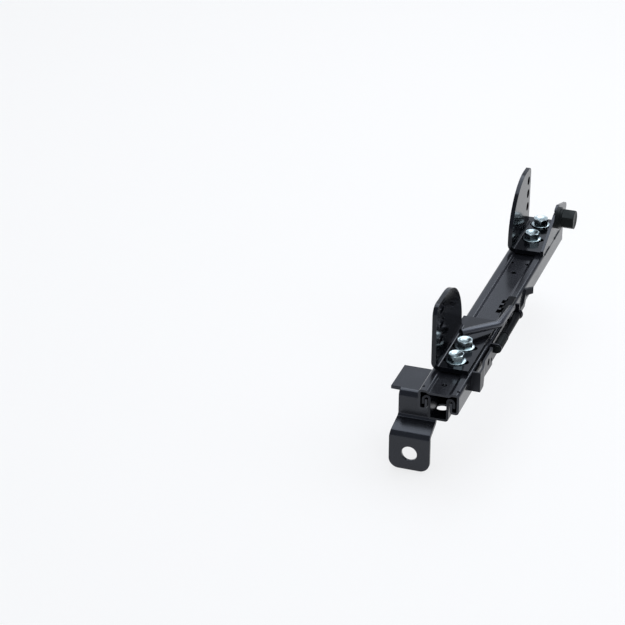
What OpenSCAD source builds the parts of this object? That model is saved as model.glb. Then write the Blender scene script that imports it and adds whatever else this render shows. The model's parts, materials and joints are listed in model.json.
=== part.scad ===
/* [Rails] */
// Length of both rails
rail_len = 365; // [320:1:450]
// Sheet thickness of both rails
sheet_t = 2; // [1.6:0.1:2.2]
// Inside radius of the rails' folds
fold_r = 1; // [0.8:0.1:1.2]
// Width over the upper rail
upper_w = 36; // [36:0.5:42]
// Depth of the upper rail
upper_h = 19; // [18:0.5:24]
// Height of the two rails together
section_h = 27; // [25:0.5:34]
// Width of the sunk strip along the top of the upper rail
strip_w = 16.4; // [14:0.2:18]
// Depth of the sunk strip
strip_step = 1.5; // [1.4:0.1:2]
// Free travel of the upper rail each way
travel = 90; // [60:10:90]

/* [Ball runs] */
// Diameter of a ball
ball_d = 3.5; // [3:0.1:3.6]
// Play between a ball and its tracks
ball_gap = 0.2; // [0.1:0.05:0.3]
// Length of a ball cage
cage_len = 230; // [160:1:240]
// Sheet thickness of a ball cage
cage_t = 0.8; // [0.6:0.1:1]
// Distance between the two balls at each end of a cage
ball_pitch = 30; // [15:1:50]
// Play between a cage and the rails on both its sides
cage_gap = 0.35; // [0.3:0.05:0.5]
// Play between the two rails' hooked lips
lip_gap = 0.5; // [0.4:0.1:0.8]
// Play between the upper rail's lips and the channel of the lower rail
channel_gap = 1; // [0.8:0.1:1.5]
// Play between the sunk strip and the lower rail
strip_gap = 1; // [0.8:0.1:1.5]

/* [Front foot] */
// Sheet thickness of the feet
foot_t = 3.2; // [2.5:0.1:4]
// Inside radius of the feet's folds
foot_fold_r = 3; // [2:0.5:5]
// Bolt hole in each foot
foot_hole_d = 14; // [9:0.5:16]
// Side offset of the front hole from the middle of the rail
front_hole_x = 30; // [20:0.5:36]
// Distance from the front end of the rails to the face of the front tab
front_tab_y = 17.5; // [5:0.5:25]
// Height of the rail's underside over the front hole
front_drop = 48.7; // [46:0.1:70]
// Width of the front tab
front_tab_w = 37; // [30:0.5:44]
// Width of the front foot's web
front_web_w = 34; // [26:0.5:40]
// Distance from the front end of the rails to the web
front_web_y = 39; // [36:0.5:60]
// Height of the web above the step
front_web_h = 21.5; // [16:0.5:24]
// Tab edge below the hole
front_tab_end = 15.8; // [10:0.1:20]
// Corner radius of the tab
front_tab_r = 9; // [4:0.5:15]
// Reach of the flange to the side of the hole
front_flange_side = 26; // [24:0.5:40]
// Length of the flange under the rail
front_flange_len = 46; // [30:1:80]

/* [Rear foot] */
// Side offset of the rear hole from the middle of the rail
rear_hole_x = 11; // [8:0.5:16]
// Height of the rail's underside over the rear tab
rear_drop = 18; // [14:0.5:30]
// Width of the rear foot
rear_foot_w = 26; // [24:0.5:32]
// Length of the rear flange under the rail
rear_flange_len = 44; // [30:1:70]
// Length of the rear tab past the web
rear_tab_len = 34; // [28:0.5:45]
// Distance from the rear end of the rails forward to the web
rear_web_y = 10; // [8:1:40]

/* [Foot rivets] */
// Shank diameter of the foot rivets
rivet_d = 8; // [6:0.5:9]
// Head diameter of the foot rivets
rivet_head_d = 12; // [10:0.5:13]
// Head height of the foot rivets
rivet_head_h = 2.4; // [1.5:0.1:3]
// Distance between the two rivets of a foot
rivet_pitch = 22; // [16:1:26]

/* [Side brackets] */
// Sheet thickness of the brackets
bracket_t = 4; // [3:0.1:4.5]
// Inside radius of the brackets' folds
bracket_fold_r = 3; // [2:0.5:4]
// Reach of a bracket's flange past the middle of the rail
flange_reach = 15; // [12:0.5:17]
// Distance from the front end of the rails to the front bracket
front_fin_y = 37; // [20:1:60]
// Length of the front fin
front_fin_len = 80.5; // [70:0.5:95]
// Length of the front bracket's flange
front_flange = 99; // [90:1:110]
// Distance from the rear end of the rails to the rear fin
rear_fin_y = 14; // [8:0.5:20]
// Length of the rear fin
rear_fin_len = 65; // [60:0.5:80]
// Reach of the rear bracket's flange behind its fin
rear_flange_past = 11; // [6:0.5:13]
// Distance of the rear fin in from the rail's side
rear_fin_in = 1; // [0:0.5:4]
// Height of the front fin
front_fin_h = 59.2; // [57:0.2:70]
// Height of the rear fin
rear_fin_h = 62.4; // [57:0.2:70]
// Radius of a fin's long round end
fin_end_r = 50; // [40:0.5:52]
// Radius of the front fin's top corner
front_corner_r = 9; // [5:0.5:12]
// Radius of the rear fin's top corner
rear_corner_r = 6; // [4:0.5:10]
// Distance from the front fin's straight edge to its slots
slot_in = 15.5; // [13:0.1:26]
// Distance from the rear fin's straight edge to its holes
fin_hole_in = 8.5; // [8:0.1:14]
// Height of the lowest fin hole over the rail
fin_hole_low = 23.5; // [18:0.5:26]
// Distance between the front fin's slots
slot_pitch = 14; // [12:0.5:16]
// Length of the front fin's slots
slot_len = 15; // [11:0.5:20]
// Width of the front fin's slots
slot_w = 8; // [6:0.1:9]
// Distance between the rear fin's holes
fin_hole_pitch = 13.5; // [11:0.5:15]
// Diameter of the rear fin's holes
fin_hole_d = 8.5; // [6:0.1:9]
// Length of the cross slots under the flange bolts
cross_slot = 23; // [14:0.5:24]
// Distance from the front end of the rails to the first front bolt
front_bolt_y = 51.5; // [50:0.5:60]
// Distance between the front bolts
front_bolt_pitch = 27; // [20:0.5:30]
// Distance from the rear end of the rails to the last rear bolt
rear_bolt_y = 18.5; // [15:0.5:24]
// Distance between the rear bolts
rear_bolt_pitch = 34; // [20:0.5:36]

/* [Flange bolts] */
// Thread diameter of the bracket bolts
bolt_d = 8; // [6:1:8]
// Width across flats of the bracket bolts
bolt_af = 13; // [10:0.5:14]
// Height of a hex above its flange
bolt_hex_h = 5.6; // [4:0.1:8]
// Diameter of a bolt's flange
bolt_flange_d = 17.8; // [14:0.1:20]
// Height of a bolt's flange
bolt_flange_h = 1.8; // [1:0.1:3]
// Hole play around a bolt
bolt_play = 0.5; // [0.3:0.1:1]
// Diameter of a weld nut
nut_d = 11.4; // [11:0.1:12]
// Height of a weld nut
nut_h = 6; // [4:0.5:6]

/* [Lock] */
// Distance between the lock's teeth
tooth_pitch = 10; // [8:0.5:12]
// Number of teeth on the pawl
tooth_count = 3; // [2:1:3]
// Width of a tooth along the rail
tooth_w = 5; // [4:0.1:6]
// Play of a tooth in its notch on each side
tooth_gap = 0.35; // [0.2:0.05:0.6]
// Distance from the front end of the rails to the first tooth
tooth_y = 165; // [163:1:170]
// Sheet thickness of the pawl
pawl_t = 2; // [1.6:0.1:2.2]
// Height of the pawl over the rail's shoulder
pawl_lift = 1.9; // [1.8:0.1:3]
// Gap between a raised tooth and the lower rail
tooth_clear = 0.3; // [0.2:0.05:0.5]
// Diameter of the pivot pin
pivot_d = 5; // [4:0.5:6]
// Running play around the pivot pin
pivot_play = 0.05; // [0.02:0.01:0.08]
// Outside diameter of the pawl's sleeve
sleeve_d = 7.5; // [7.5:0.5:9]
// Distance of the pivot from the rail's side
pivot_out = 6; // [6:0.5:8]
// Depth of the pivot under the rail's shoulder
pivot_down = 3; // [2:0.5:4]
// Distance from the front end of the rails to the front ear
ear_front_y = 97; // [95:1:98]

/* [Handle] */
// Outside diameter of the handle tube
tube_d = 7; // [6:0.5:8]
// Bore of the handle tube
tube_bore = 5; // [4:0.5:5.5]
// Bend radius of the handle tube
tube_bend_r = 14; // [10:1:20]

/* [Latch bracket] */
// Sheet thickness of the latch bracket
latch_t = 2; // [1.5:0.1:2.5]
// Distance from the front end of the rails to the latch bracket
latch_y = 37; // [30:1:45]

/* [Buckle anchor] */
// Sheet thickness of the buckle tab
tab_t = 3; // [2.5:0.1:4]
// Distance from the rear end of the rails to the buckle bolt
buckle_y = 29.5; // [24:0.5:40]
// Height of the buckle bolt over the rail
buckle_z = 19.5; // [17:0.5:28]
// Thread diameter of the buckle bolt
buckle_d = 10; // [8:0.5:11]
// Width across flats of the buckle bolt
buckle_af = 17; // [15:0.5:19]
// Height of the buckle bolt's head
buckle_head_h = 12; // [6:0.5:14]
// Diameter of the buckle boss
buckle_boss_d = 21; // [18:0.5:24]
// Height of the buckle boss
buckle_boss_h = 4; // [3:0.5:8]
// Diameter of the buckle washer
buckle_washer_d = 18; // [17:0.5:24]
// Thickness of the buckle washer
buckle_washer_t = 2; // [1.5:0.1:4]

/* [Hidden] */
$fn = 48;

black_paint = "#2b2c31";
dark_paint = "#1c1d20";
zinc = "#c9ced2";
bright_steel = "#b4b8bc";
spring_steel = "#6d7074";
eps = 0.01;

// Rail section, seen from the front: X to the right, Z up from the top of the shoulders
side_x = upper_w / 2;
inner_x = side_x - sheet_t;
ball_r = ball_d / 2;
ball_x = inner_x - ball_gap - ball_r;
ball_up_z = -sheet_t - ball_gap - ball_r;
ball_low_z = -upper_h + sheet_t + ball_gap + ball_r;
hook_x = inner_x - cage_t - 2 * cage_gap;
up_lip_x = hook_x - sheet_t - lip_gap;
channel_x = up_lip_x - sheet_t - channel_gap;
floor_z = -section_h;
floor_top = floor_z + sheet_t;
strip_top = -strip_step;
strip_under = strip_top - sheet_t;
flange_top = strip_under - strip_gap;
flange_under = flange_top - sheet_t;
slope_out = ball_x + ball_up_z - (ball_r + ball_gap) * sqrt(2);
slope_in = slope_out - sheet_t * sqrt(2);
hook_end = ball_low_z + ball_r + ball_gap;
lip_top = slope_in - up_lip_x - 1.2;
mid_y = rail_len / 2;
out_r = fold_r + sheet_t;

// Joggle between the strip and a shoulder, folded 45 degrees both ways
joggle_leg = (strip_step - (fold_r + out_r) * (1 - cos(45))) / sin(45);
joggle_w = (fold_r + out_r) * sin(45) + joggle_leg * cos(45);

// Lock
tooth_x = channel_x + 0.3;
notch_x0 = channel_x;
notch_x1 = tooth_x + pawl_t + 0.7;
tooth_tip = flange_top + tooth_clear;
pivot_x = side_x + pivot_out;
pivot_z = -pivot_down;
pawl_x = pivot_x - sleeve_d / 2;
pawl_top = pawl_lift + pawl_t;
comb_y0 = tooth_y - 19;
comb_y1 = tooth_y + (tooth_count - 1) * tooth_pitch + tooth_w / 2;
comb_x1 = side_x - 0.5;
notch_steps = floor(travel / tooth_pitch);
ear_rear_y = tooth_y + 1;
spring_len = 24;
sleeve_y0 = ear_front_y + latch_t + spring_len;
sleeve_y1 = ear_rear_y - 1.5;
pin_head_h = 1.6;
hook_y = 217;
latch_edge = -8.5;
clip_t = 1;

// Stops inside the channel
stop_pin_d = 6;
stop_pin_z = floor_top + 11;
stop_t = 3;
stop_w = 9;
stop_gap = 0.5;
stop_dist = travel + stop_t / 2 + stop_pin_d / 2 + stop_gap;

// Handle tube: free end, elbow and welded end
handle_points = [[-6.7, 89.2, 11.3], [19.7, 121, 9.2], [20.75, tooth_y - 8, 7.36]];
handle_shift = [pivot_x - 24, 0, pawl_top - 3.9];

// Straight steps in each fold
fold_steps = 8;

// The bolt hole of the front foot is the origin
rail_at = [front_hole_x, -front_tab_y, front_drop - floor_z];

function unit(v) = v / norm(v);
function front_bolts() = [front_bolt_y, front_bolt_y + front_bolt_pitch];
function rear_bolts() = [rail_len - rear_bolt_y - rear_bolt_pitch, rail_len - rear_bolt_y];

module at_rail() {
    translate(rail_at)
        children();
}

// One face of a folded sheet, off to the left of a path of [length, turn] legs
function fold_side(path, off, t, r, i = 0, p = [0, 0], h = 0) =
    let (dir = [cos(h), sin(h)], left = [-sin(h), cos(h)], q = p + path[i][0] * dir)
    i == len(path) - 1 ? [p + off * left, q + off * left] :
    let (turn = path[i][1], arm = turn > 0 ? r + t : -r, c = q + arm * left)
    concat([p + off * left],
        [for (k = [0 : fold_steps - 1]) c + turned((off - arm) * left, turn * k / fold_steps)],
        fold_side(path, off, t, r, i + 1, c + turned(-arm * left, turn), h + turn));

function turned(v, a) = [v[0] * cos(a) - v[1] * sin(a), v[0] * sin(a) + v[1] * cos(a)];
function reversed(list) = [for (i = [len(list) - 1 : -1 : 0]) list[i]];

// Section of a folded sheet that lies left of its path
module fold(path, t, r) {
    polygon(concat(fold_side(path, 0, t, r), reversed(fold_side(path, t, t, r))));
}

// Extrudes an outline drawn in X and Z along Y
module along_y(y0, length) {
    translate([0, y0 + length, 0])
        rotate([90, 0, 0])
            linear_extrude(length)
                children();
}

// Extrudes an outline drawn in Y and Z along X
module along_x(x0, length) {
    translate([x0, 0, 0])
        rotate([90, 0, 90])
            linear_extrude(length)
                children();
}

module bore_z(x, y, d, z0, z1) {
    translate([x, y, z0])
        cylinder(d = d, h = z1 - z0);
}

module bore_x(y, z, d, x0, x1) {
    translate([x0, y, z])
        rotate([0, 90, 0])
            cylinder(d = d, h = x1 - x0);
}

module bore_y(x, z, d, y0, y1) {
    translate([x, y1, z])
        rotate([90, 0, 0])
            cylinder(d = d, h = y1 - y0);
}

module slot_shape(length, width) {
    reach = (length - width) / 2;
    square([2 * reach, width], center = true);
    for (s = [-1, 1])
        translate([s * reach, 0])
            circle(d = width);
}

// Whole path of a section from the half that starts at its middle
function both_ways(half) =
    let (last = len(half) - 1)
    concat([for (i = [last : -1 : 1]) [half[i][0], half[i - 1][1]]],
        [[2 * half[0][0], half[0][1]]],
        [for (i = [1 : last]) half[i]]);

// Section of the lower rail: floor, walls, flanges, ball slopes and hooked lips
module lower_section() {
    bend = fold_r * tan(22.5);
    corner_x = slope_in - flange_under;
    lip_in = hook_x - sheet_t;
    half = [[channel_x - out_r, 90], [flange_under - fold_r - floor_z - out_r, -90],
        [corner_x - bend - channel_x - fold_r, -45],
        [(lip_in - corner_x) * sqrt(2) - 2 * bend, -45],
        [slope_in - lip_in - bend - hook_end, 0]];
    translate([-lip_in, hook_end])
        rotate(90)
            fold(both_ways(half), sheet_t, fold_r);
}

// Section of the upper rail: strip, joggles, shoulders, walls, bottoms and lips
module upper_section() {
    shoulder = side_x - out_r - strip_w / 2 - joggle_w;
    lip_in = up_lip_x - sheet_t;
    half = [[strip_w / 2, -45], [joggle_leg, 45], [shoulder, 90], [upper_h - 2 * out_r, 90],
        [side_x - lip_in - 2 * out_r, 90], [lip_top + upper_h - out_r, 0]];
    translate([lip_in, lip_top])
        rotate(-90)
            fold(both_ways(half), sheet_t, fold_r);
}

module lower_rail() {
    drain_x = -2;
    drain_y = 20;
    drain_d = 11;
    color(black_paint)
        at_rail()
            difference() {
                along_y(0, rail_len)
                    lower_section();
                for (i = [-notch_steps : tooth_count - 1 + notch_steps])
                    translate([notch_x0, tooth_y + i * tooth_pitch - tooth_w / 2 - tooth_gap,
                        flange_under - eps])
                        cube([notch_x1 - notch_x0, tooth_w + 2 * tooth_gap, sheet_t + 2 * eps]);
                bore_z(drain_x, drain_y, drain_d, floor_z - eps, floor_top + eps);
                bore_z(drain_x, rail_len - drain_y, drain_d, floor_z - eps, floor_top + eps);
                for (y = concat(front_rivets(), rear_rivets()))
                    bore_z(0, y, rivet_d, floor_z - eps, floor_top + eps);
                for (s = [-1, 1])
                    bore_x(mid_y + s * stop_dist, stop_pin_z, stop_pin_d,
                        -channel_x - eps, channel_x + eps);
            }
}

function front_rivets() = [for (s = [-1, 1])
    front_web_y + front_flange_len / 2 + 3 + s * rivet_pitch / 2];
function rear_rivets() = [for (s = [-1, 1])
    rail_len - rear_web_y - rear_flange_len / 2 - 3 + s * rivet_pitch / 2];

module stop_pins() {
    color(dark_paint)
        at_rail()
            for (s = [-1, 1])
                bore_x(mid_y + s * stop_dist, stop_pin_z, stop_pin_d, -channel_x, channel_x);
}

module upper_rail() {
    tooling_d = 5;
    tooling_front = 16.6;
    tooling_rear = 119;
    side_hole_d = 4;
    side_hole_x = 7.2;
    side_hole_y = 98;
    stake_d = 2.6;
    stake_in = 2.8;
    stake_y = 6.7;
    stake_depth = 1.6;
    slot_x = 5;
    slot_play = 0.9;
    color(black_paint)
        at_rail()
            difference() {
                along_y(0, rail_len)
                    upper_section();
                for (y = concat(front_bolts(), rear_bolts()))
                    bore_z(0, y, bolt_d + bolt_play, strip_under - eps, strip_top + eps);
                for (y = [tooling_front, rail_len - tooling_rear])
                    bore_z(0, y, tooling_d, strip_under - eps, strip_top + eps);
                for (s = [-1, 1]) {
                    bore_z(s * side_hole_x, rail_len - side_hole_y, side_hole_d,
                        strip_under - eps, strip_top + eps);
                    bore_z(s * (side_x - stake_in), stake_y, stake_d, -stake_depth, eps);
                }
                for (i = [0 : tooth_count - 1])
                    translate([slot_x, tooth_y + i * tooth_pitch - tooth_w / 2 - slot_play,
                        strip_under - eps])
                        cube([tooth_x + pawl_t + 0.8 - slot_x, tooth_w + 2 * slot_play,
                            -strip_under + 2 * eps]);
            }
}

module stop_bracket() {
    foot = 14;
    drop = -stop_pin_z + strip_under + stop_pin_d / 2;
    color(bright_steel)
        at_rail()
            translate([-stop_w / 2, 0, 0])
                along_x(0, stop_w)
                    translate([mid_y - stop_t / 2, strip_under - drop])
                        rotate(90)
                            mirror([0, 1])
                                fold([[drop - 1.5 - stop_t, -90], [foot, 0]], stop_t, 1.5);
}

module front_foot() {
    bend_out = foot_fold_r + foot_t;
    step_turn = 75;
    step_run = front_web_y - front_tab_y
        - (foot_fold_r + bend_out) * (1 - cos(step_turn));
    step_leg = step_run / sin(step_turn);
    step_fall = (foot_fold_r + bend_out) * sin(step_turn) + step_leg * cos(step_turn);
    tab_leg = front_drop + front_tab_end - bend_out - front_web_h + bend_out - step_fall;
    hole_x = -front_hole_x;
    hole_z = floor_z - front_drop;
    flange_y0 = front_web_y + bend_out;
    flange_len = front_flange_len - bend_out;
    web_bottom = floor_z - front_web_h;
    tab_top = web_bottom - step_fall;
    tab_bottom = hole_z - front_tab_end;
    color(black_paint)
        at_rail()
            difference() {
                union() {
                    translate([hole_x - front_flange_side, flange_y0, floor_z - foot_t])
                        cube([channel_x - hole_x + front_flange_side, flange_len, foot_t]);
                    intersection() {
                        along_x(hole_x - front_tab_w / 2, front_tab_w)
                            translate([front_web_y + front_flange_len, floor_z])
                                rotate(180)
                                    fold([[flange_len, 90], [front_web_h - bend_out, -step_turn],
                                        [step_leg, step_turn], [tab_leg, 0]],
                                        foot_t, foot_fold_r);
                        along_y(0, front_web_y + front_flange_len)
                            translate([hole_x, 0])
                                front_foot_outline(web_bottom, tab_top, tab_bottom);
                    }
                }
                bore_y(hole_x, hole_z, foot_hole_d, front_tab_y - eps,
                    front_tab_y + foot_t + eps);
                for (y = front_rivets())
                    bore_z(0, y, rivet_d, floor_z - foot_t - eps, floor_z + eps);
            }
}

// Front view of the foot's web and tab
module front_foot_outline(web_bottom, tab_top, tab_bottom) {
    web = front_web_w / 2;
    tab = front_tab_w / 2;
    polygon([[-web, eps - section_h], [web, eps - section_h], [web, web_bottom], [tab, tab_top],
        [tab, tab_bottom + front_tab_r], [-tab, tab_bottom + front_tab_r], [-tab, tab_top],
        [-web, web_bottom]]);
    translate([-tab + front_tab_r, tab_bottom])
        square([front_tab_w - 2 * front_tab_r, front_tab_r + eps]);
    for (s = [-1, 1])
        translate([s * (tab - front_tab_r), tab_bottom + front_tab_r])
            circle(front_tab_r);
}

module rear_foot() {
    bend_out = foot_fold_r + foot_t;
    web_face = rail_len - rear_web_y;
    tab_r = 8;
    hole_in = 15;
    x0 = -rear_hole_x - rear_foot_w / 2;
    tab_z = floor_z - rear_drop;
    tab_end = web_face + rear_tab_len;
    color(black_paint)
        at_rail()
            difference() {
                union() {
                    intersection() {
                        along_x(x0, rear_foot_w)
                            translate([web_face - rear_flange_len, tab_z + rear_drop])
                                mirror([0, 1])
                                    fold([[rear_flange_len - bend_out, 90],
                                        [rear_drop - bend_out - foot_fold_r, -90],
                                        [rear_tab_len - foot_fold_r, 0]], foot_t, foot_fold_r);
                        translate([0, 0, tab_z - 2 * foot_t])
                            linear_extrude(rear_drop + 3 * foot_t)
                                rear_foot_outline(x0, web_face, tab_end, tab_r);
                    }
                    translate([x0, web_face - rear_flange_len, floor_z - foot_t])
                        cube([channel_x - x0, rear_flange_len - bend_out, foot_t]);
                }
                bore_z(-rear_hole_x, tab_end - hole_in, foot_hole_d, tab_z - 2 * foot_t,
                    tab_z + foot_t);
                for (y = rear_rivets())
                    bore_z(0, y, rivet_d, floor_z - foot_t - eps, floor_z + eps);
            }
}

// Plan of the rear foot with its rounded tab
module rear_foot_outline(x0, web_face, tab_end, tab_r) {
    translate([x0, web_face - rear_flange_len])
        square([rear_foot_w, rear_flange_len + rear_tab_len - tab_r]);
    translate([x0 + tab_r, web_face])
        square([rear_foot_w - 2 * tab_r, rear_tab_len]);
    for (x = [x0 + tab_r, x0 + rear_foot_w - tab_r])
        translate([x, tab_end - tab_r])
            circle(tab_r);
}

// Round-headed rivet through a foot's flange and the rail's floor
module foot_rivet(y) {
    head_r = (pow(rivet_head_d / 2, 2) + pow(rivet_head_h, 2)) / (2 * rivet_head_h);
    bore_z(0, y, rivet_d, floor_z - foot_t, floor_top);
    intersection() {
        translate([0, y, floor_top + rivet_head_h - head_r])
            sphere(head_r);
        bore_z(0, y, rivet_head_d, floor_top, floor_top + rivet_head_h);
    }
    bore_z(0, y, rivet_head_d, floor_z - foot_t - rivet_head_h / 2, floor_z - foot_t);
}

module front_foot_rivets() {
    color(dark_paint)
        at_rail()
            for (y = front_rivets())
                foot_rivet(y);
}

module rear_foot_rivets() {
    color(dark_paint)
        at_rail()
            for (y = rear_rivets())
                foot_rivet(y);
}

// Side view of a bracket: straight edge of the fin at Y = 0, round far end, flange from y0 to y1
module fin_outline(length, fin_h, corner_r, y0, y1) {
    translate([y0, 0])
        square([y1 - y0, bracket_t]);
    square([length, fin_h - fin_end_r]);
    square([corner_r, fin_h - corner_r]);
    translate([corner_r, fin_h - corner_r])
        circle(corner_r);
    translate([corner_r, 0])
        square([length - fin_end_r - corner_r, fin_h]);
    intersection() {
        translate([length - fin_end_r, fin_h - fin_end_r])
            circle(fin_end_r, $fn = 96);
        translate([length - fin_end_r, 0])
            square([fin_end_r, fin_h]);
    }
}

// Bent bracket with its fin on the left of the rail, the fin's outer face at fin_x
module bracket(fin_x, length, fin_h, corner_r, y0, y1) {
    bend_out = bracket_fold_r + bracket_t;
    intersection() {
        along_y(y0, y1 - y0)
            translate([fin_x, fin_h])
                rotate(-90)
                    fold([[fin_h - bend_out, 90], [flange_reach - fin_x - bend_out, 0]],
                        bracket_t, bracket_fold_r);
        along_x(fin_x, flange_reach - fin_x)
            fin_outline(length, fin_h, corner_r, y0, y1);
    }
}

module front_bracket() {
    color(black_paint)
        at_rail()
            difference() {
                translate([0, front_fin_y, 0])
                    bracket(-side_x, front_fin_len, front_fin_h, front_corner_r, 0, front_flange);
                along_x(-side_x - eps, bracket_t + 2 * eps)
                    for (i = [0 : 2])
                        translate([front_fin_y + slot_in, fin_hole_low + i * slot_pitch])
                            slot_shape(slot_len, slot_w);
                cross_slots(front_bolts());
            }
}

module rear_bracket() {
    fin_end = rail_len - rear_fin_y;
    fin_x = -side_x + rear_fin_in;
    color(black_paint)
        at_rail()
            difference() {
                translate([0, fin_end, 0])
                    mirror([0, 1, 0])
                        bracket(fin_x, rear_fin_len, rear_fin_h, rear_corner_r, -rear_flange_past,
                            rear_fin_len);
                for (i = [0 : 2])
                    bore_x(fin_end - fin_hole_in, fin_hole_low + i * fin_hole_pitch, fin_hole_d,
                        fin_x - eps, fin_x + bracket_t + eps);
                cross_slots(rear_bolts());
            }
}

module cross_slots(places) {
    for (y = places)
        translate([0, y, -eps])
            linear_extrude(bracket_t + 2 * eps)
                slot_shape(cross_slot, bolt_d + bolt_play);
}

// Hex prism with its upper corners turned off
module hex_head(af, h, chamfer) {
    corner = af / sqrt(3);
    intersection() {
        cylinder(r = corner, h = h, $fn = 6);
        union() {
            cylinder(r = corner + 1, h = h - chamfer);
            translate([0, 0, h - chamfer])
                cylinder(r1 = corner + 0.2, r2 = af / 2 - 0.3, h = chamfer);
        }
    }
}

module flange_bolt() {
    bolt_end = strip_under - nut_h;
    cylinder(d1 = bolt_flange_d, d2 = bolt_flange_d - 2, h = bolt_flange_h);
    translate([0, 0, bolt_flange_h])
        hex_head(bolt_af, bolt_hex_h, 1.2);
    translate([0, 0, bolt_end - bracket_t])
        cylinder(d = bolt_d, h = bracket_t - bolt_end + eps);
}

module bolt_set(places) {
    color(zinc)
        at_rail()
            for (y = places)
                translate([0, y, bracket_t])
                    flange_bolt();
}

module front_bracket_bolts() {
    bolt_set(front_bolts());
}

module rear_bracket_bolts() {
    bolt_set(rear_bolts());
}

module nut_set(places) {
    color(bright_steel)
        at_rail()
            for (y = places)
                difference() {
                    bore_z(0, y, nut_d, strip_under - nut_h, strip_under);
                    bore_z(0, y, bolt_d + 2 * pivot_play, strip_under - nut_h - eps,
                        strip_under + eps);
                }
}

module front_weld_nuts() {
    nut_set(front_bolts());
}

module rear_weld_nuts() {
    nut_set(rear_bolts());
}

function ball_places() = [for (s = [-1, 1], k = [0, 1])
    mid_y + s * (cage_len / 2 - ball_d - 2 - k * ball_pitch)];

module ball_cage() {
    edge = cage_gap + 0.6;
    top = -sheet_t - edge;
    bottom = -upper_h + sheet_t + edge;
    seat = 2 * sqrt(ball_r * ball_r - pow(hook_x + cage_gap - ball_x, 2)) + 0.2;
    window_len = cage_len - 4 * ball_pitch;
    difference() {
        translate([hook_x + cage_gap, mid_y - cage_len / 2, bottom])
            cube([cage_t, cage_len, top - bottom]);
        for (y = ball_places(), z = [ball_up_z, ball_low_z])
            bore_x(y, z, seat, hook_x, inner_x);
        translate([hook_x, mid_y - window_len / 2, (top + bottom) / 2 - 3])
            cube([inner_x - hook_x, window_len, 6]);
    }
}

module ball_row() {
    for (y = ball_places(), z = [ball_up_z, ball_low_z])
        translate([ball_x, y, z])
            sphere(ball_r);
}

module left_ball_cage() {
    color(spring_steel)
        at_rail()
            mirror([1, 0, 0])
                ball_cage();
}

module right_ball_cage() {
    color(spring_steel)
        at_rail()
            ball_cage();
}

module left_balls() {
    color(bright_steel)
        at_rail()
            mirror([1, 0, 0])
                ball_row();
}

module right_balls() {
    color(bright_steel)
        at_rail()
            ball_row();
}

// Plan of the latch bracket: flared front, offset middle, hook turned out at the rear
module latch_plan() {
    near = side_x;
    mid = side_x + 3;
    out = side_x + 6;
    y1 = latch_y + 11;
    y2 = latch_y + 25;
    y3 = ear_front_y - 10;
    polygon([[out, latch_y], [out + latch_t, latch_y], [out + latch_t, y1], [mid + latch_t, y2],
        [mid + latch_t, y3], [near + latch_t, ear_front_y - 2], [near + latch_t, hook_y],
        [near + latch_t + 5, hook_y + 5], [near + latch_t + 4, hook_y + 7], [near, hook_y + 2],
        [near, ear_front_y - 3], [mid, y3 - 1], [mid, y2 - 0.5], [out, y1 - 0.5]]);
}

// Side view of the latch bracket
module latch_side() {
    low = -upper_h + 2;
    strap_edge = -12;
    y3 = ear_front_y - 10;
    y4 = ear_rear_y + 6;
    hook_end = hook_y + 10;
    polygon([[latch_y, 4], [latch_y, -14.5], [latch_y + 7, -14.5], [latch_y + 19, -12.5],
        [y3, -13.5], [ear_front_y, low], [hook_y - 5, low], [hook_y + 1, -8], [hook_end, -7],
        [hook_end, -1.5], [hook_y - 1, -1.5], [hook_y - 9, strap_edge], [y4, strap_edge],
        [y4 - 3, latch_edge],
        [ear_front_y + 7, latch_edge], [y3 + 2, 2.5], [latch_y + 20, 2.5], [latch_y + 8, 4]]);
}

// Ear that carries the pivot pin
module latch_ear() {
    ear_r = pivot_d / 2 + 1.8;
    translate([side_x, pivot_z - ear_r])
        square([pivot_x - side_x, 2 * ear_r]);
    translate([side_x, latch_edge - 2])
        square([latch_t, 4]);
    translate([pivot_x, pivot_z])
        circle(ear_r);
}

module latch_bracket() {
    big_hole_d = 6.5;
    small_hole_d = 4;
    side_out = side_x + 10;
    post_w = 4;
    post_top = 8;
    color(black_paint)
        at_rail()
            difference() {
                union() {
                    intersection() {
                        along_x(side_x, side_out - side_x)
                            latch_side();
                        translate([0, 0, -upper_h])
                            linear_extrude(upper_h + 10)
                                latch_plan();
                    }
                    along_y(latch_y, latch_t)
                        translate([side_x, -14.5])
                            square([6 + latch_t, 18.5]);
                    for (y = [ear_front_y, ear_rear_y])
                        along_y(y, latch_t)
                            latch_ear();
                    translate([pivot_x - 2, ear_rear_y, pivot_z])
                        cube([post_w, latch_t, post_top - pivot_z]);
                }
                bore_x(latch_y + 37, -4.5, big_hole_d, side_x, side_out);
                bore_x(latch_y + 47, -7, small_hole_d, side_x, side_out);
                bore_y(pivot_x, pivot_z, pivot_d + 2 * pivot_play, ear_front_y - 10,
                    ear_rear_y + 10);
            }
}

module pivot_pin() {
    pin_end = ear_rear_y + latch_t + clip_t + 2;
    color(dark_paint)
        at_rail() {
            bore_y(pivot_x, pivot_z, pivot_d, ear_front_y - eps, pin_end);
            bore_y(pivot_x, pivot_z, pivot_d + 2, ear_front_y - pin_head_h, ear_front_y);
        }
}

module pivot_clip() {
    y0 = ear_rear_y + latch_t;
    color(spring_steel)
        at_rail()
            difference() {
                bore_y(pivot_x, pivot_z, pivot_d + 5, y0, y0 + clip_t);
                bore_y(pivot_x, pivot_z, pivot_d + 2 * pivot_play, y0 - eps, y0 + clip_t + eps);
                translate([pivot_x - pivot_d / 4, y0 - eps, pivot_z])
                    cube([pivot_d / 2, clip_t + 2 * eps, pivot_d]);
            }
}

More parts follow.
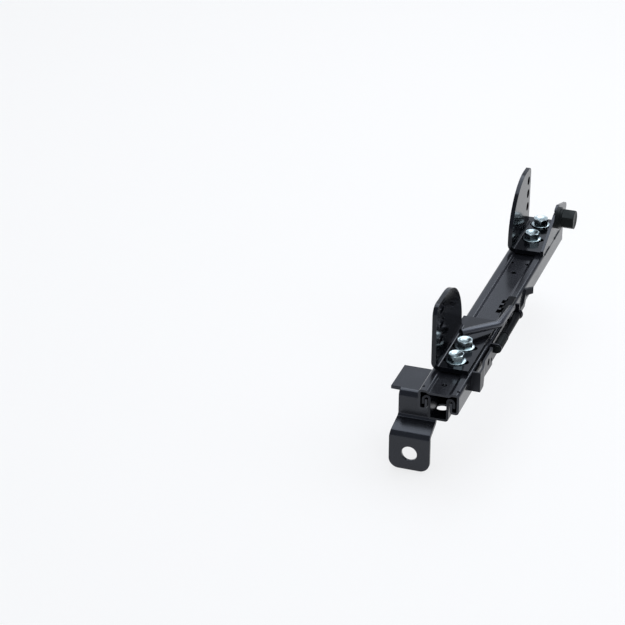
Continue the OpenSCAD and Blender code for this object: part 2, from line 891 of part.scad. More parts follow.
// Sleeve on the pivot pin and a comb folded over the shoulder, its teeth turned down
module lock_pawl() {
    bend_r = 1.5;
    bend_out = bend_r + pawl_t;
    up_leg = pawl_top - bend_out - pivot_z;
    over_leg = pawl_x + pawl_t - tooth_x - 2 * bend_out;
    down_leg = pawl_top - bend_out - tooth_tip;
    gap_w = tooth_pitch - tooth_w;
    root = pawl_t + 0.6;
    tall = pawl_top - tooth_tip + 2;
    color(black_paint)
        at_rail()
            difference() {
                union() {
                    bore_y(pivot_x, pivot_z, sleeve_d, sleeve_y0, sleeve_y1);
                    along_y(comb_y0, comb_y1 - comb_y0)
                        translate([pawl_x + pawl_t, pivot_z])
                            rotate(90)
                                fold([[up_leg, 90], [over_leg, 90], [down_leg, 0]],
                                    pawl_t, bend_r);
                }
                translate([tooth_x - eps, comb_y0 - eps, tooth_tip - 1])
                    cube([pawl_t + 1.5, tooth_y - tooth_w / 2 - comb_y0 + eps, tall]);
                for (i = [0 : tooth_count - 2])
                    translate([tooth_x - eps, tooth_y + tooth_w / 2 + i * tooth_pitch, tooth_tip - 1])
                        cube([root, gap_w, tall]);
                translate([comb_x1, sleeve_y1, pivot_z - 1])
                    cube([sleeve_d, comb_y1 - sleeve_y1 + eps, tall + 2]);
                bore_y(pivot_x, pivot_z, pivot_d + 2 * pivot_play, sleeve_y0 - eps,
                    sleeve_y1 + eps);
                translate([spring_x - spring_wire, sleeve_y0 - eps,
                    spring_leg_z - spring_wire / 2 - notch_gap])
                    cube([spring_wire * 2, spring_tang + 1, spring_wire + 2 * notch_gap]);
            }
}

// Bent round bar through three points; the bend is drawn by a small amount and the legs lap it
module bent_bar(points, d, bend_r, past, drawn) {
    lap = 0.5;
    first = points[1] - points[0];
    second = points[2] - points[1];
    ex = unit(first);
    ez = unit(cross(first, second));
    ey = cross(ez, ex);
    turn = acos(unit(first) * unit(second));
    setback = bend_r * tan(turn / 2);
    leg = norm(first) - setback;
    multmatrix([[ex[0], ey[0], ez[0], points[0][0]], [ex[1], ey[1], ez[1], points[0][1]],
        [ex[2], ey[2], ez[2], points[0][2]], [0, 0, 0, 1]]) {
        translate([-past, 0, 0])
            rotate([0, 90, 0])
                cylinder(d = d, h = leg + past + lap);
        translate([leg, bend_r, 0])
            rotate([0, 0, -90]) {
                rotate_extrude(angle = turn)
                    translate([bend_r, 0])
                        circle(d = d + drawn);
                rotate([0, 0, turn])
                    translate([bend_r, -lap, 0])
                        rotate([-90, 0, 0])
                            cylinder(d = d, h = norm(second) - setback + past + lap);
            }
    }
}

module release_handle() {
    drawn = 0.04;
    color(black_paint)
        at_rail()
            translate(handle_shift)
                difference() {
                    bent_bar(handle_points, tube_d, tube_bend_r, 0, -drawn);
                    bent_bar(handle_points, tube_bore, tube_bend_r, 1, drawn);
                }
}

// Spring wire: leg against the latch bracket, coil round the pin, tang in the sleeve's notch
spring_wire = 1.6;
spring_r = pivot_d / 2 + 0.3 + spring_wire / 2;
spring_turns = 11;
spring_y0 = ear_front_y + latch_t + 1.3;
spring_y1 = sleeve_y0 - 1.3;
spring_bend = 1.1;
spring_tang = 4;
spring_x = pivot_x - spring_r;
spring_leg_z = pivot_z + spring_bend;
spring_rest_x = side_x + latch_t + spring_wire / 2 + 0.1;
spring_steps = 14 * spring_turns;
notch_gap = 0.2;

function coil_point(k) = let (a = 180 - 360 * spring_turns * k)
    [pivot_x + spring_r * cos(a), spring_y0 + k * (spring_y1 - spring_y0),
        pivot_z + spring_r * sin(a)];
function spring_path() = concat(
    [[spring_rest_x, spring_y0, pivot_z - spring_r - 1.5]],
    [for (i = [0 : spring_steps]) coil_point(i / spring_steps)],
    [for (a = [15 : 15 : 90]) [spring_x, spring_y1 + spring_bend * (1 - cos(a)),
        pivot_z + spring_bend * sin(a)]],
    [[spring_x, sleeve_y0 + spring_tang, spring_leg_z]]);

// Direction of a path at one of its points
function path_dir(path, i) =
    unit(path[min(i + 1, len(path) - 1)] - path[max(i - 1, 0)]);

// Directions square to the path, carried along it without twist
function path_sides(path) =
    [for (i = 0, n = [0, 1, 0]; i < len(path); i = i + 1,
        n = i < len(path) ? unit(n - (n * path_dir(path, i)) * path_dir(path, i)) : n)
        unit(n - (n * path_dir(path, i)) * path_dir(path, i))];

// Round wire swept along a list of points
module wire(path, d, sides) {
    last = len(path) - 1;
    across = path_sides(path);
    rings = [for (i = [0 : last])
        let (side = across[i], up = cross(path_dir(path, i), side))
        for (k = [0 : sides - 1])
            path[i] + d / 2 * (side * cos(360 * k / sides) + up * sin(360 * k / sides))];
    faces = concat([[for (k = [0 : sides - 1]) k]],
        [for (i = [0 : last - 1], k = [0 : sides - 1])
            let (a = i * sides + k, b = i * sides + (k + 1) % sides)
            [a, a + sides, b + sides, b]],
        [[for (k = [sides - 1 : -1 : 0]) last * sides + k]]);
    polyhedron(rings, faces, 4);
}

module return_spring() {
    color(dark_paint)
        at_rail()
            wire(spring_path(), spring_wire, 8);
}

buckle_at = rail_len - buckle_y;
tab_x = side_x - tab_t;
washer_x = side_x + buckle_boss_h;
head_x = washer_x + buckle_washer_t;

// Side view of the buckle tab: ramp up from the bracket's front corner, round head, tail
module buckle_outline() {
    front_y = rail_len - rear_fin_y - rear_fin_len;
    head = [buckle_at + 8, buckle_z - 1.5];
    head_r = 10.5;
    tail = [buckle_at + 36, buckle_z - 4];
    tail_r = 4.5;
    polygon([[front_y, 0], [buckle_at + 26, 0], head + [8, -4], head + [-4, 9.7],
        head + [-8.4, 6.3], [front_y, bracket_t + 1]]);
    translate(head)
        circle(head_r);
    polygon([head + [2, 10.2], head + [4, -7], tail + [-1, -4.3], tail + [1.5, 4.2]]);
    translate(tail)
        circle(tail_r);
}

module buckle_tab() {
    color(black_paint)
        at_rail()
            difference() {
                along_x(tab_x, tab_t)
                    buckle_outline();
                bore_x(buckle_at, buckle_z, buckle_d + 2 * pivot_play, tab_x - eps,
                    side_x + eps);
            }
}

module buckle_boss() {
    color(dark_paint)
        at_rail()
            difference() {
                bore_x(buckle_at, buckle_z, buckle_boss_d, side_x, washer_x);
                bore_x(buckle_at, buckle_z, buckle_d + 2 * pivot_play, side_x - eps,
                    washer_x + eps);
            }
}

module buckle_washer() {
    color(dark_paint)
        at_rail()
            difference() {
                bore_x(buckle_at, buckle_z, buckle_washer_d, washer_x, head_x);
                bore_x(buckle_at, buckle_z, buckle_d + 2 * pivot_play, washer_x - eps,
                    head_x + eps);
            }
}

module buckle_bolt() {
    color(dark_paint)
        at_rail() {
            bore_x(buckle_at, buckle_z, buckle_d, tab_x, head_x + eps);
            translate([head_x, buckle_at, buckle_z])
                rotate([0, 90, 0])
                    hex_head(buckle_af, buckle_head_h, 1.5);
        }
}

lower_rail();
front_foot();
rear_foot();
front_foot_rivets();
rear_foot_rivets();
stop_pins();
upper_rail();
stop_bracket();
front_bracket();
rear_bracket();
front_bracket_bolts();
rear_bracket_bolts();
front_weld_nuts();
rear_weld_nuts();
left_ball_cage();
right_ball_cage();
left_balls();
right_balls();
latch_bracket();
pivot_pin();
pivot_clip();
lock_pawl();
release_handle();
return_spring();
buckle_tab();
buckle_boss();
buckle_bolt();
buckle_washer();
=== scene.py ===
import json
import math

import bpy
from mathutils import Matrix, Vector


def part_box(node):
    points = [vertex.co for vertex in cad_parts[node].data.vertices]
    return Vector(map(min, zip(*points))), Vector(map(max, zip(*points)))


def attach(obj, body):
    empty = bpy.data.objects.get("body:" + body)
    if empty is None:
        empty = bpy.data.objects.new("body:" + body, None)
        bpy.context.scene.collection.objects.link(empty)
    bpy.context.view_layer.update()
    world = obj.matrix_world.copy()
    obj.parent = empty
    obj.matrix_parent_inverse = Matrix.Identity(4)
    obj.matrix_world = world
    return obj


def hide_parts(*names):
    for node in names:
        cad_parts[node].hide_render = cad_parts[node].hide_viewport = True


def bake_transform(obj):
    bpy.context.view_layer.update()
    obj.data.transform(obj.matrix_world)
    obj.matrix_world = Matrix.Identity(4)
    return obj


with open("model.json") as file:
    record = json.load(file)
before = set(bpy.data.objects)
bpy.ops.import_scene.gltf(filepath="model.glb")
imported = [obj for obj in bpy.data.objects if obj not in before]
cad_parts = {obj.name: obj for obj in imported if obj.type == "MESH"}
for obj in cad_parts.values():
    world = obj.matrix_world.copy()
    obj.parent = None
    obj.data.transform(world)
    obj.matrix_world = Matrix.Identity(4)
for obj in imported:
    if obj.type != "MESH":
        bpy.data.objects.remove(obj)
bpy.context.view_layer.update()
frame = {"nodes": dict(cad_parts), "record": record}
nodes = frame["nodes"]
mm = 0.001

# rail frame (mm from rail centre, front end and shoulder top) to the row frame in metres
railOrigin = (30.0, -17.5, 75.7)


def railPoint(x, y, z):
    return tuple((a + b) * mm for a, b in zip((x, y, z), railOrigin))


# materials
def newMaterial(name):
    material = bpy.data.materials.new(name)
    material.use_nodes = True
    tree = material.node_tree
    return material, tree, tree.nodes["Principled BSDF"]


def noise(tree, scale, detail, rough=0.5, stretch=(1, 1, 1)):
    coord = tree.nodes.new("ShaderNodeTexCoord")
    mapping = tree.nodes.new("ShaderNodeMapping")
    mapping.inputs["Scale"].default_value = stretch
    tex = tree.nodes.new("ShaderNodeTexNoise")
    tex.inputs["Scale"].default_value = scale
    tex.inputs["Detail"].default_value = detail
    tex.inputs["Roughness"].default_value = rough
    tree.links.new(coord.outputs["Object"], mapping.inputs["Vector"])
    tree.links.new(mapping.outputs["Vector"], tex.inputs["Vector"])
    return tex.outputs["Fac"]


def ramp(tree, source, stops):
    node = tree.nodes.new("ShaderNodeValToRGB")
    elements = node.color_ramp.elements
    while len(elements) < len(stops):
        elements.new(0.5)
    for element, (place, colour) in zip(elements, stops):
        element.position = place
        element.color = (*colour, 1)
    tree.links.new(source, node.inputs["Fac"])
    return node.outputs["Color"]


def spread(tree, source, low, high, start=0.3, end=0.7):
    node = tree.nodes.new("ShaderNodeMapRange")
    node.inputs["From Min"].default_value = start
    node.inputs["From Max"].default_value = end
    node.inputs["To Min"].default_value = low
    node.inputs["To Max"].default_value = high
    tree.links.new(source, node.inputs["Value"])
    return node.outputs["Result"]


def bump(tree, shader, source, strength, distance):
    node = tree.nodes.new("ShaderNodeBump")
    node.inputs["Strength"].default_value = strength
    node.inputs["Distance"].default_value = distance
    tree.links.new(source, node.inputs["Height"])
    tree.links.new(node.outputs["Normal"], shader.inputs["Normal"])


def blendColour(tree, factor, first, second):
    node = tree.nodes.new("ShaderNodeMix")
    node.data_type = "RGBA"
    tree.links.new(factor, node.inputs["Factor"])
    tree.links.new(first, node.inputs["A"])
    node.inputs["B"].default_value = (*second, 1)
    return node.outputs["Result"]


# sizes are in metres and noise scales per metre
paintGrain = {"cloud": 28, "peel": 700, "peelDepth": 0.00006, "scuff": 90, "scuffStretch": (1, 0.12, 1),
              "scuffMost": 0.2, "scuffRange": (0.62, 0.78),
              "wornLitEdge": 0.0005, "wornLitMost": 0.8, "wornLitRange": (0.8, 0.99)}
metalGrain = {"cloud": 120, "brush": 400, "brushBump": 0.12, "brushDepth": 0.00004}


# lighter edges, partly thin paint worn off and partly a painted highlight: how far a rounded normal leans from the
# real one
def edgeWearAndHighlight(tree):
    soft = tree.nodes.new("ShaderNodeBevel")
    soft.samples = 4
    soft.inputs["Radius"].default_value = paintGrain["wornLitEdge"]
    real = tree.nodes.new("ShaderNodeNewGeometry")
    dot = tree.nodes.new("ShaderNodeVectorMath")
    dot.operation = "DOT_PRODUCT"
    tree.links.new(soft.outputs["Normal"], dot.inputs[0])
    tree.links.new(real.outputs["Normal"], dot.inputs[1])
    return spread(tree, dot.outputs["Value"], paintGrain["wornLitMost"], 0.0, *paintGrain["wornLitRange"])


def paint(name, look):
    material, tree, shader = newMaterial(name)
    shader.inputs["Specular IOR Level"].default_value = look["gloss"]
    shader.inputs["Specular Tint"].default_value = (*look["tint"], 1)
    cloud = noise(tree, paintGrain["cloud"], 4)
    grain = noise(tree, paintGrain["peel"], 2)
    scuff = noise(tree, paintGrain["scuff"], 6, 0.65, paintGrain["scuffStretch"])
    colour = ramp(tree, cloud, [(0.3, look["dark"]), (0.7, look["light"])])
    scuffed = spread(tree, scuff, 0.0, paintGrain["scuffMost"], *paintGrain["scuffRange"])
    colour = blendColour(tree, scuffed, colour, look["edge"])
    # edges turn to the edge colour: partly wear, partly painted highlight
    colour = blendColour(tree, edgeWearAndHighlight(tree), colour, look["edge"])
    tree.links.new(colour, shader.inputs["Base Color"])
    tree.links.new(spread(tree, cloud, *look["rough"]), shader.inputs["Roughness"])
    bump(tree, shader, grain, look["peel"], paintGrain["peelDepth"])
    return material


def metal(name, look):
    material, tree, shader = newMaterial(name)
    shader.inputs["Metallic"].default_value = 1
    cloud = noise(tree, metalGrain["cloud"], 5)
    brush = noise(tree, metalGrain["brush"], 3, 0.6, look["stretch"])
    tree.links.new(ramp(tree, cloud, [(0.3, look["dark"]), (0.7, look["light"])]), shader.inputs["Base Color"])
    tree.links.new(spread(tree, brush, *look["rough"]), shader.inputs["Roughness"])
    bump(tree, shader, brush, metalGrain["brushBump"], metalGrain["brushDepth"])
    return material


coolTint = (0.84, 0.89, 1.0)
# edge: colour of the scuffs, and of the lighter edges, which are partly wear and partly painted highlight
satinBlack = {"dark": (0.0042, 0.0044, 0.0054), "light": (0.0084, 0.0086, 0.0104), "edge": (0.04, 0.04, 0.045),
              "rough": (0.16, 0.26), "peel": 0.14, "gloss": 0.5, "tint": coolTint}
glossBlack = {"dark": (0.0012, 0.0014, 0.0019), "light": (0.003, 0.0032, 0.0042), "edge": (0.05, 0.05, 0.056),
              "rough": (0.11, 0.17), "peel": 0.08, "gloss": 0.36, "tint": coolTint}
# lighter copy of the satin black for the handle tube: a painted highlight
litHandleBlack = {"dark": (0.014, 0.0142, 0.0164), "light": (0.023, 0.0232, 0.0264), "edge": (0.06, 0.06, 0.066),
               "rough": (0.18, 0.28), "peel": 0.14, "gloss": 0.75, "tint": coolTint}
# darker, rougher copy of the satin black for the lower rail and latch bracket: painted shade
dullShadedBlack = {"dark": (0.003, 0.0031, 0.0039), "light": (0.0068, 0.0069, 0.0085), "edge": (0.035, 0.035, 0.039),
             "rough": (0.3, 0.4), "peel": 0.2, "gloss": 0.3, "tint": coolTint}
lockBlack = {"dark": (0.0015, 0.0017, 0.0019), "light": (0.004, 0.0043, 0.0047), "edge": (0.02, 0.021, 0.022),
             "rough": (0.38, 0.5), "peel": 0.3, "gloss": 0.06, "tint": coolTint}
darkBlack = {"dark": (0.002, 0.0025, 0.0025), "light": (0.007, 0.0082, 0.0082), "edge": (0.02, 0.021, 0.022),
             "rough": (0.34, 0.48), "peel": 0.3, "gloss": 0.18, "tint": (0.9, 1.0, 0.98)}
zinc = {"dark": (0.34, 0.42, 0.43), "light": (0.60, 0.69, 0.70), "rough": (0.15, 0.28), "stretch": (1, 1, 0.2)}
steel = {"dark": (0.40, 0.40, 0.41), "light": (0.52, 0.52, 0.53), "rough": (0.28, 0.4), "stretch": (1, 0.2, 1)}
springSteel = {"dark": (0.05, 0.05, 0.055), "light": (0.10, 0.10, 0.108), "rough": (0.22, 0.34),
               "stretch": (0.3, 1, 1)}
looks = {
    "satin_black": paint("satinBlack", satinBlack),
    "gloss_black": paint("glossBlack", glossBlack),
    "lit_handle_black": paint("litHandleBlack", litHandleBlack),
    "shaded_dull_black": paint("dullShadedBlack", dullShadedBlack),
    "lock_black": paint("lockBlack", lockBlack),
    "dark_black": paint("darkBlack", darkBlack),
    "zinc": metal("zinc", zinc),
    "steel": metal("steel", steel),
    "spring_steel": metal("springSteel", springSteel),
}
subparts = frame["record"]["subparts"]
slotOf = {part["node"]: part["material_slot"] for part in subparts}
bodyOf = {name: body for body, names in frame["record"]["behaviour"]["bodies"].items() for name in names}
for name, node in nodes.items():
    node.data.materials.clear()
    node.data.materials.append(looks[slotOf[name]])
print("materials done")


# shared steps for the new pieces
def clearSelection():
    if bpy.context.object and bpy.context.object.mode != "OBJECT":
        bpy.ops.object.mode_set(mode="OBJECT")
    bpy.ops.object.select_all(action="DESELECT")


def pickFaces(piece, test):
    bpy.ops.object.mode_set(mode="EDIT")
    bpy.ops.mesh.select_mode(type="FACE")
    bpy.ops.mesh.select_all(action="DESELECT")
    bpy.ops.object.mode_set(mode="OBJECT")
    for face in piece.data.polygons:
        face.select = test(face)
    bpy.ops.object.mode_set(mode="EDIT")


def applyModifiers(piece):
    bpy.ops.object.mode_set(mode="OBJECT")
    bpy.context.view_layer.objects.active = piece
    for modifier in list(piece.modifiers):
        bpy.ops.object.modifier_apply(modifier=modifier.name)


sharpAngle = 40  # edges sharper than this are rounded


def roundEdges(piece, width, segments=3):
    bevel = piece.modifiers.new("edges", "BEVEL")
    bevel.width = width
    bevel.segments = segments
    bevel.limit_method = "ANGLE"
    bevel.angle_limit = math.radians(sharpAngle)
    weight = piece.modifiers.new("flats", "WEIGHTED_NORMAL")
    weight.keep_sharp = True
    applyModifiers(piece)


def joinPieces(pieces, name):
    clearSelection()
    for piece in pieces:
        piece.select_set(True)
    bpy.context.view_layer.objects.active = pieces[0]
    if len(pieces) > 1:
        bpy.ops.object.join()
    piece = bpy.context.object
    piece.name = name
    piece.data.name = name
    bpy.ops.object.transform_apply(location=True, rotation=True, scale=True)
    return piece


def finishPiece(piece, slot, body, look=None):
    piece.data.materials.clear()
    piece.data.materials.append(looks[look or slot])
    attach(piece, body)


# hex head with turned-off corners and a dished crown, standing on z = base
def hexHead(flats, high, base, chamfer, dish):
    corner = flats / math.sqrt(3)
    middle = (0, 0, base + high / 2)
    clearSelection()
    bpy.ops.mesh.primitive_cylinder_add(vertices=48, radius=corner * 1.01, depth=high, location=middle)
    turned = bpy.context.object
    pickFaces(turned, lambda face: face.normal.z > 0.9)
    bpy.ops.mesh.bevel(offset=chamfer, segments=2, profile=0.5)
    clearSelection()
    bpy.ops.mesh.primitive_cylinder_add(vertices=6, radius=corner, depth=high, location=middle)
    head = bpy.context.object
    cut = head.modifiers.new("corners", "BOOLEAN")
    cut.operation = "INTERSECT"
    cut.solver = "EXACT"
    cut.object = turned
    applyModifiers(head)
    bpy.data.objects.remove(turned)
    bpy.ops.object.transform_apply(location=True)
    top = base + high
    pickFaces(head, lambda face: face.normal.z > 0.99 and face.center.z > top - 0.1 * mm)
    bpy.ops.mesh.dissolve_faces()
    for shrink, down in dish:
        bpy.ops.mesh.extrude_region_move()
        bpy.ops.transform.resize(value=(shrink, shrink, 1), center_override=(0, 0, top))
        bpy.ops.transform.translate(value=(0, 0, -down * mm))
    bpy.ops.object.mode_set(mode="OBJECT")
    return head


# shank below z = 0 with a chamfered tip
def boltShank(wide, tail, tip):
    clearSelection()
    bpy.ops.mesh.primitive_cylinder_add(vertices=40, radius=wide / 2, depth=tail, location=(0, 0, -tail / 2))
    shank = bpy.context.object
    pickFaces(shank, lambda face: face.normal.z < -0.9)
    bpy.ops.mesh.bevel(offset=tip, segments=1)
    bpy.ops.object.mode_set(mode="OBJECT")
    return shank


# bracket bolts: hex, flange and shank, one modelled and then copied
boltSet = {"flats": 13.0, "hexHigh": 5.6, "chamfer": 1.0, "dish": [(0.8, 0), (0.84, 0.7)],
           "flangeWide": 17.8, "flangeHigh": 1.8, "rimHigh": 1.1, "rimEdge": 0.3, "coneHigh": 0.6, "coneIn": 0.82,
           "shankWide": 8.0, "tip": 0.8, "smooth": 28, "turn": 17}
flangeR = boltSet["flangeWide"] / 2 * mm


# height of the flange's seat, and the length of shank below it
def boltSeat(node):
    low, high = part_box(node)
    seat = high[2] - (boltSet["hexHigh"] + boltSet["flangeHigh"]) * mm
    return seat, seat - low[2]


def flangeBolt(tail):
    head = hexHead(boltSet["flats"] * mm, boltSet["hexHigh"] * mm, boltSet["flangeHigh"] * mm,
                   boltSet["chamfer"] * mm, boltSet["dish"])
    clearSelection()
    rimHigh = boltSet["rimHigh"] * mm
    bpy.ops.mesh.primitive_cylinder_add(vertices=72, radius=flangeR, depth=rimHigh, location=(0, 0, rimHigh / 2))
    flange = bpy.context.object
    roundEdges(flange, boltSet["rimEdge"] * mm)
    pickFaces(flange, lambda face: face.normal.z > 0.99)
    bpy.ops.mesh.extrude_region_move()
    bpy.ops.transform.resize(value=(boltSet["coneIn"], boltSet["coneIn"], 1), center_override=(0, 0, rimHigh))
    bpy.ops.transform.translate(value=(0, 0, boltSet["coneHigh"] * mm))
    shank = boltShank(boltSet["shankWide"] * mm, tail, boltSet["tip"] * mm)
    bolt = joinPieces([head, flange, shank], "flangeBolt")
    bpy.ops.object.shade_smooth_by_angle(angle=math.radians(boltSet["smooth"]))
    return bolt


def boltPair(pattern, node, name):
    low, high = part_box(node)
    pair = []
    for y, turn in ((low[1] + flangeR, 0), (high[1] - flangeR, boltSet["turn"])):
        bolt = pattern.copy()
        bolt.data = pattern.data.copy()
        bpy.context.collection.objects.link(bolt)
        bolt.location = ((low[0] + high[0]) / 2, y, boltSeat(node)[0])
        bolt.rotation_euler[2] = math.radians(turn)
        pair.append(bolt)
    bolts = joinPieces(pair, name)
    finishPiece(bolts, "zinc", "carriage")
    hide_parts(node)


boltPattern = flangeBolt(boltSeat("front_bracket_bolts")[1])
boltPair(boltPattern, "front_bracket_bolts", "frontBolts")
boltPair(boltPattern, "rear_bracket_bolts", "rearBolts")
bpy.data.objects.remove(boltPattern)
print("bracket bolts done")

# buckle bolt: long hex with a dished end, washer face and shank, turned to point right
buckleSet = {"flats": 17.0, "headHigh": 12.0, "chamfer": 1.4, "dish": [(0.82, 0), (0.9, 0.4)],
             "face": 0.6, "faceIn": 0.3, "faceEdge": 0.15, "shankWide": 10.0, "tip": 0.8, "smooth": 28,
             "turn": 30}


def buckleBolt():
    low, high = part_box("buckle_bolt")
    headHigh = buckleSet["headHigh"] * mm
    face = buckleSet["face"] * mm
    faceR = (buckleSet["flats"] / 2 - buckleSet["faceIn"]) * mm
    head = hexHead(buckleSet["flats"] * mm, headHigh - face, face, buckleSet["chamfer"] * mm, buckleSet["dish"])
    clearSelection()
    bpy.ops.mesh.primitive_cylinder_add(vertices=64, radius=faceR, depth=face, location=(0, 0, face / 2))
    ring = bpy.context.object
    roundEdges(ring, buckleSet["faceEdge"] * mm, 2)
    shank = boltShank(buckleSet["shankWide"] * mm, high[0] - headHigh - low[0], buckleSet["tip"] * mm)
    bolt = joinPieces([head, ring, shank], "buckleBolt")
    bpy.ops.object.shade_smooth_by_angle(angle=math.radians(buckleSet["smooth"]))
    bolt.rotation_euler[2] = math.radians(buckleSet["turn"])  # about its own axis before it is laid over
    bolt = joinPieces([bolt], "buckleBolt")
    bolt.location = (high[0] - headHigh, (low[1] + high[1]) / 2, (low[2] + high[2]) / 2)
    bolt.rotation_euler[1] = math.radians(90)
    bolt = joinPieces([bolt], "buckleBolt")
    finishPiece(bolt, "dark_black", "carriage")
    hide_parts("buckle_bolt")


buckleBolt()
print("buckle bolt done")

# pressed sheets with broken edges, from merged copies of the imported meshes
mergeSet = {"doubles": 0.00001, "flat": 0.6, "segments": 2}
# edge width and smoothing angle of each
edgeSet = {"front_bracket": (0.5, 35), "rear_bracket": (0.5, 35), "front_foot": (0.45, 35), "rear_foot": (0.45, 35),
           "buckle_tab": (0.4, 35), "latch_bracket": (0.25, 8), "lock_pawl": (0.2, 35), "upper_rail": (0.3, 35),
           "lower_rail": (0.3, 35)}
# the lower rail and latch bracket take the darker copy of the satin black, which is painted shade
lookOf = {"lower_rail": "shaded_dull_black", "latch_bracket": "shaded_dull_black", "lock_pawl": "lock_black"}


def mergedCopy(node, smooth):
    clearSelection()
    name = "".join(word.capitalize() for word in node.split("_"))
    piece = bpy.data.objects.new("sheet" + name, nodes[node].data.copy())
    bpy.context.collection.objects.link(piece)
    piece.select_set(True)
    bpy.context.view_layer.objects.active = piece
    bpy.ops.object.mode_set(mode="EDIT")
    bpy.ops.mesh.select_all(action="SELECT")
    bpy.ops.mesh.remove_doubles(threshold=mergeSet["doubles"])
    bpy.ops.mesh.dissolve_limited(angle_limit=math.radians(mergeSet["flat"]))
    bpy.ops.object.mode_set(mode="OBJECT")
    bpy.ops.object.shade_smooth_by_angle(angle=math.radians(smooth))
    return piece


for node, (width, smooth) in edgeSet.items():
    sheet = mergedCopy(node, smooth)
    roundEdges(sheet, width * mm, mergeSet["segments"])
    finishPiece(sheet, slotOf[node], bodyOf[node], lookOf.get(node))
    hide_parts(node)
print("sheet pieces done")

# return spring (front end on the ear, tang on the lock): a merged, smoothed copy of the imported mesh, left in place
springSet = {"front": (24, 101, -3), "rear": (24, 122, -3), "smooth": 60}
spring = mergedCopy("return_spring", springSet["smooth"])
spring.name = "springCoil"
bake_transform(spring)
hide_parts("return_spring")
print("spring done")

# handle tube: a ring drawn along the first leg, spun round the elbow and drawn along the second leg
handleSet = {"free": (-6.7, 89.2, 11.3), "elbow": (19.7, 121, 9.2), "end": (20.75, 157, 7.36),
             "wide": 7.0, "wall": 1.0, "bend": 14.0, "lip": 0.2, "sides": 40, "bendSteps": 16, "smooth": 50}


def handleTube():
    free, elbow, end = [Vector(railPoint(*handleSet[key])) for key in ("free", "elbow", "end")]
    first = (elbow - free).normalized()
    second = (end - elbow).normalized()
    turn = first.angle(second)
    axis = first.cross(second).normalized()
    bend = handleSet["bend"] * mm
    setback = bend * math.tan(turn / 2)
    legEnd = elbow - first * setback
    centre = legEnd + axis.cross(first) * bend
    clearSelection()
    bpy.ops.mesh.primitive_circle_add(vertices=handleSet["sides"], radius=handleSet["wide"] / 2 * mm, location=free,
                                      rotation=first.to_track_quat("Z", "Y").to_euler())
    tube = bpy.context.object
    bpy.ops.object.transform_apply(location=True, rotation=True)
    bpy.ops.object.mode_set(mode="EDIT")
    bpy.ops.mesh.select_all(action="SELECT")
    bpy.ops.mesh.extrude_edges_move(TRANSFORM_OT_translate={"value": legEnd - free})
    bpy.ops.mesh.spin(steps=handleSet["bendSteps"], angle=-turn, center=centre, axis=axis)
    bpy.ops.mesh.extrude_edges_move(TRANSFORM_OT_translate={"value": end - elbow - second * setback})
    bpy.ops.mesh.select_all(action="SELECT")
    bpy.ops.mesh.remove_doubles(threshold=mergeSet["doubles"])
    bpy.ops.mesh.normals_make_consistent(inside=False)
    bpy.ops.object.mode_set(mode="OBJECT")
    wall = tube.modifiers.new("wall", "SOLIDIFY")
    wall.thickness = handleSet["wall"] * mm
    wall.offset = -1
    applyModifiers(tube)
    roundEdges(tube, handleSet["lip"] * mm, 2)
    tube = joinPieces([tube], "handleTube")
    bpy.ops.object.shade_smooth_by_angle(angle=math.radians(handleSet["smooth"]))
    # the tube takes the lighter copy of the satin black, a painted highlight
    finishPiece(tube, slotOf["release_handle"], "lever", "lit_handle_black")
    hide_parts("release_handle")


handleTube()
print("handle done")

# weld beads: rings drawn along a line, every other one swollen
weldSet = {
    "weldTabFront": {"from": (17.7, 292, -1.0), "to": (17.7, 312, -1.0), "radius": 1.5, "body": "carriage"},
    "weldTabRear": {"from": (17.7, 330, -1.0), "to": (17.7, 350, -1.0), "radius": 1.5, "body": "carriage"},
    "weldHandleIn": {"from": (18.3, 146.5, 4.7), "to": (18.4, 155.5, 4.6), "radius": 1.2, "body": "lever"},
    "weldHandleOut": {"from": (21.9, 146.5, 3.8), "to": (22.0, 155.5, 3.6), "radius": 1.2, "body": "lever"},
    "weldStrapFront": {"from": (18.7, 101, -17.3), "to": (18.7, 116, -17.3), "radius": 1.1, "body": "carriage"},
    "weldStrapRear": {"from": (18.7, 188, -17.3), "to": (18.7, 203, -17.3), "radius": 1.1, "body": "carriage"},
}
beadShape = {"sides": 14, "tipR": 0.55, "swell": 1.8, "ripple": 0.82, "pitch": 0.75}


def weldBead(name, bead):
    start = railPoint(*bead["from"])
    end = railPoint(*bead["to"])
    radius = bead["radius"] * mm
    count = max(4, int((end[1] - start[1]) / (beadShape["pitch"] * radius)))
    step = [(b - a) / count for a, b in zip(start, end)]
    clearSelection()
    bpy.ops.mesh.primitive_circle_add(vertices=beadShape["sides"], radius=radius * beadShape["tipR"],
                                      fill_type="NGON", location=start, rotation=(math.radians(90), 0, 0))
    weld = bpy.context.object
    bpy.ops.object.mode_set(mode="EDIT")
    bpy.ops.mesh.select_all(action="SELECT")
    for i in range(count):
        centre = [a + (i + 1) * d for a, d in zip(start, step)]
        bpy.ops.mesh.extrude_region_move(TRANSFORM_OT_translate={"value": step})
        if i == 0:
            grow = beadShape["swell"]
        elif i == count - 1:
            grow = beadShape["tipR"]
        else:
            grow = beadShape["ripple"] if i % 2 else 1 / beadShape["ripple"]
        bpy.ops.transform.resize(value=(grow, 1, grow), center_override=centre)
    bpy.ops.mesh.select_all(action="SELECT")
    bpy.ops.mesh.normals_make_consistent(inside=False)
    bpy.ops.object.mode_set(mode="OBJECT")
    smooth = weld.modifiers.new("smooth", "SUBSURF")
    smooth.levels = 1
    smooth.render_levels = 1
    applyModifiers(weld)
    weld = joinPieces([weld], name)
    bpy.ops.object.shade_smooth()
    finishPiece(weld, "satin_black", bead["body"])


for name, bead in weldSet.items():
    weldBead(name, bead)
print("weld beads done")

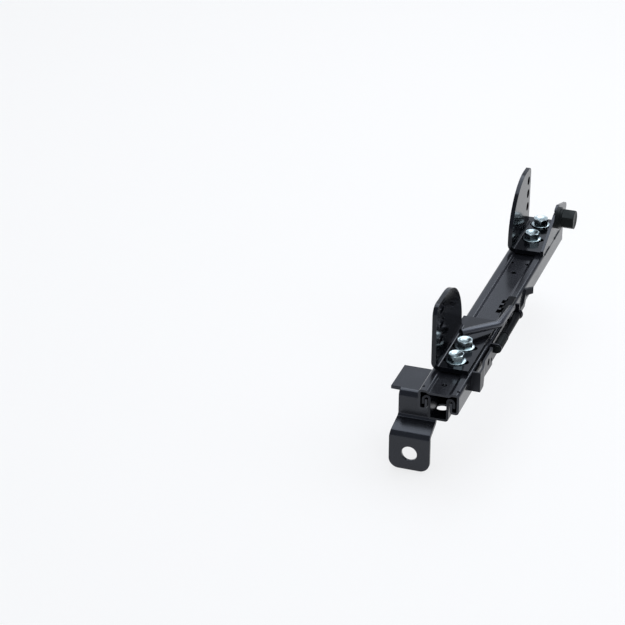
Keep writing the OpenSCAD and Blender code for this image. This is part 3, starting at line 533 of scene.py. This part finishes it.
# floor and light
stageSet = {"floorZ": -0.0165, "size": 40.0, "white": 0.96, "rough": 0.9, "gloss": 0.1, "glow": 0.8, "strength": 0.96,
            "sky": (0.32, 0.345, 0.40), "lampColour": (0.88, 0.93, 1.0)}
clearSelection()
bpy.ops.mesh.primitive_plane_add(size=stageSet["size"], location=(0, 0, stageSet["floorZ"]))
floor = bpy.context.object
floor.name = "floor"
floorLook, tree, shader = newMaterial("floorWhite")
shader.inputs["Base Color"].default_value = (stageSet["white"],) * 3 + (1,)
shader.inputs["Roughness"].default_value = stageSet["rough"]
shader.inputs["Specular IOR Level"].default_value = stageSet["gloss"]
# the camera and mirrors see a paler floor, which still takes the shadow
path = tree.nodes.new("ShaderNodeLightPath")
seen = tree.nodes.new("ShaderNodeMath")
seen.operation = "MAXIMUM"
seenMore = tree.nodes.new("ShaderNodeMath")
seenMore.operation = "MAXIMUM"
amount = tree.nodes.new("ShaderNodeMath")
amount.operation = "MULTIPLY"
amount.inputs[1].default_value = stageSet["glow"]
glow = tree.nodes.new("ShaderNodeEmission")
glow.inputs["Strength"].default_value = stageSet["strength"]
mix = tree.nodes.new("ShaderNodeMixShader")
tree.links.new(path.outputs["Is Camera Ray"], seen.inputs[0])
tree.links.new(path.outputs["Is Glossy Ray"], seen.inputs[1])
tree.links.new(seen.outputs[0], seenMore.inputs[0])
tree.links.new(path.outputs["Is Transmission Ray"], seenMore.inputs[1])
tree.links.new(seenMore.outputs[0], amount.inputs[0])
tree.links.new(amount.outputs[0], mix.inputs["Fac"])
tree.links.new(shader.outputs["BSDF"], mix.inputs[1])
tree.links.new(glow.outputs["Emission"], mix.inputs[2])
tree.links.new(mix.outputs["Shader"], tree.nodes["Material Output"].inputs["Surface"])
floor.data.materials.append(floorLook)

world = bpy.data.worlds.new("studio")
bpy.context.scene.world = world
world.use_nodes = True
world.node_tree.nodes["Background"].inputs["Color"].default_value = (*stageSet["sky"], 1)

lamps = {
    "topLamp": {"at": (0.1, 0.7, 1.55), "aim": (0.03, 0.17, 0.05), "size": 1.6, "power": 18.5},
    "backLamp": {"at": (-0.47, 1.55, 0.9), "aim": (0.03, 0.17, 0.05), "size": 1.35, "power": 2.7},
    "rimLamp": {"at": (0.06, 1.48, 0.95), "aim": (0.05, 0.12, 0.08), "size": 0.25, "power": 0.6},
    "sideLamp": {"at": (1.02, 0.49, 1.28), "aim": (0.03, 0.17, 0.05), "size": 1.0, "power": 7.5},
    "frontLamp": {"at": (0.9, -1.2, 1.1), "aim": (0.03, 0.1, 0.05), "size": 0.9, "power": 5.5},
}
for name, lamp in lamps.items():
    data = bpy.data.lights.new(name, "AREA")
    data.size = lamp["size"]
    data.energy = lamp["power"]
    data.color = stageSet["lampColour"]
    light = bpy.data.objects.new(name, data)
    bpy.context.collection.objects.link(light)
    light.location = lamp["at"]
    offset = [b - a for a, b in zip(lamp["at"], lamp["aim"])]
    flat = math.hypot(offset[0], offset[1])
    heading = math.atan2(offset[1], offset[0]) - math.pi / 2
    light.rotation_euler = (math.atan2(flat, -offset[2]), 0, heading)
print("stage and light done")

# camera
view = {"at": (0.4582, -1.5392, 0.9584), "turn": 19.555, "down": 27.104, "lens": 124.1, "sensor": 36}
cameraData = bpy.data.cameras.new("camera")
cameraData.lens = view["lens"]
cameraData.sensor_width = view["sensor"]
camera = bpy.data.objects.new("camera", cameraData)
bpy.context.collection.objects.link(camera)
camera.location = view["at"]
camera.rotation_euler = (math.radians(90 - view["down"]), 0, math.radians(view["turn"]))
scene = bpy.context.scene
scene.camera = camera
scene.view_settings.view_transform = "Standard"
print("camera done")
